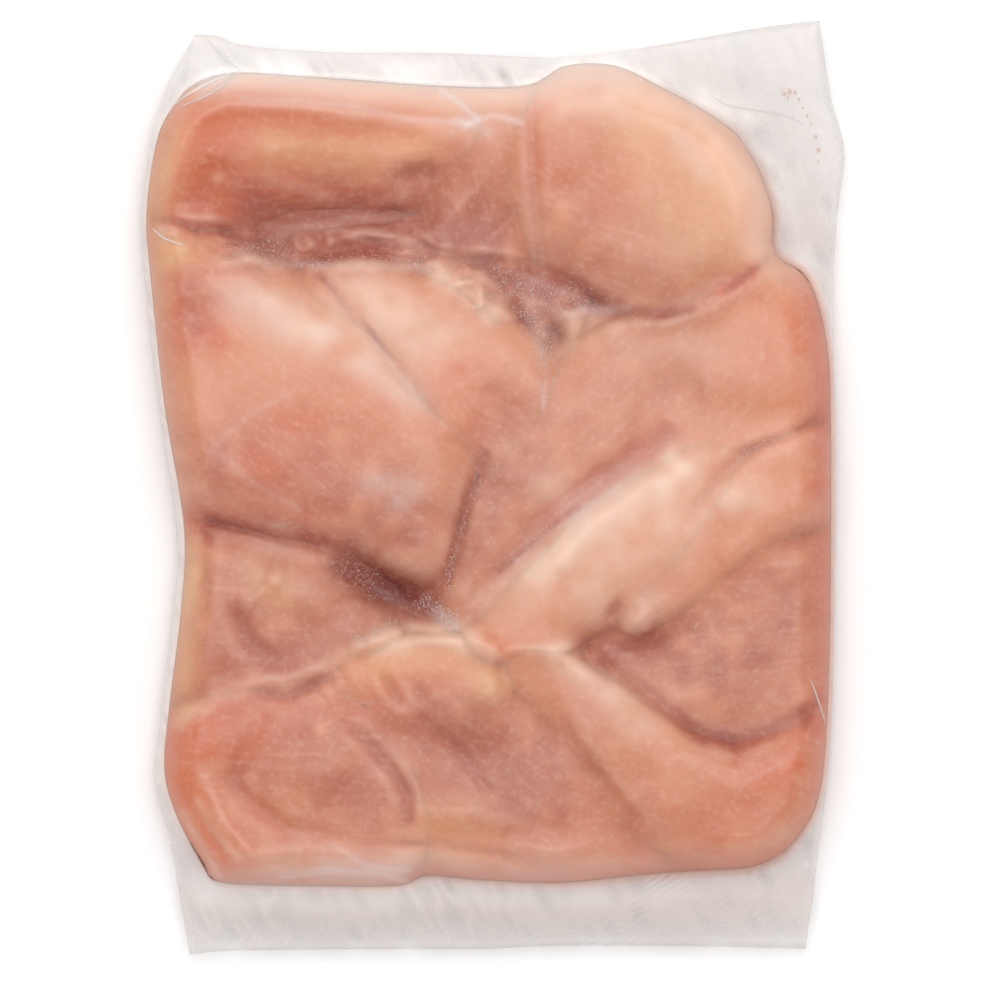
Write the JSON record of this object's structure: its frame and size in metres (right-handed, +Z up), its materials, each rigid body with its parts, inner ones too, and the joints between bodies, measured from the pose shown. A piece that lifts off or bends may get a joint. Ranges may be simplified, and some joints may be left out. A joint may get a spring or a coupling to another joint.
{
  "type": "vacuum bag of raw chicken breast",
  "caption": "Clear vacuum-sealed bag packed flat with raw boneless chicken breast fillets, lying on a table.",
  "frame": {"origin": "on the table under the middle of the bag", "axes": "+Z up, +Y along the bag's length towards its top seal, +X across the bag to the right"},
  "size_m": [0.2546, 0.338, 0.0413],
  "materials": {
    "film_over_meat": "clear glossy film drawn tight over pale raw meat"
  },
  "bodies": {
    "root": {"sealed_bag": "film_over_meat"}
  },
  "joints": []
}
